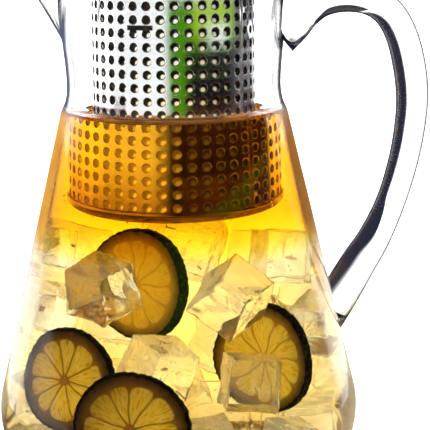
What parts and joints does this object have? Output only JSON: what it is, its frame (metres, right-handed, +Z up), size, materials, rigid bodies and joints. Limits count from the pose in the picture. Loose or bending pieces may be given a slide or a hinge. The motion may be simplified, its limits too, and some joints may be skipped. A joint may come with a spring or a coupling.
{
  "type": "iced tea pitcher",
  "caption": "Clear glass pitcher with a waisted neck, pulled spout and loop handle, a lift-out perforated steel infuser under a lid, and iced tea with ice and lime slices.",
  "frame": {"origin": "centre of the flat base, on the table", "axes": "+Z up along the jug's axis, -X towards the spout, +X towards the handle"},
  "size_m": [0.2108, 0.176, 0.2717],
  "materials": {
    "glass": "clear, fire polished",
    "tea": "clear golden liquid",
    "ice": "clear wet ice",
    "lime": "wet cut fruit",
    "steel": "polished stainless",
    "silicone": "translucent satin"
  },
  "bodies": {
    "jug": {"glass_jug": "glass", "glass_handle": "glass", "iced_tea": "tea", "ice_cubes": "ice", "lime_slice_left": "lime", "lime_slice_front": "lime", "lime_slice_back": "lime", "lime_slice_right": "lime"},
    "infuser": {"infuser_tube": "steel", "infuser_base": "steel", "infuser_collar": "steel", "collar_clips": "steel", "strainer_sleeve": "steel", "collar_gasket": "silicone"},
    "lid": {"lid_cap": "steel", "lid_gasket": "silicone", "knob_washer": "silicone", "lid_knob": "steel", "knob_screw": "steel"}
  },
  "joints": [
    {"name": "infuser_lift", "type": "slide", "parent": "jug", "child": "infuser", "axis": [0, 0, 1], "range_m": [0, 0.135]},
    {"name": "lid_lift", "type": "slide", "parent": "infuser", "child": "lid", "axis": [0, 0, 1], "range_m": [0, 0.05]}
  ]
}
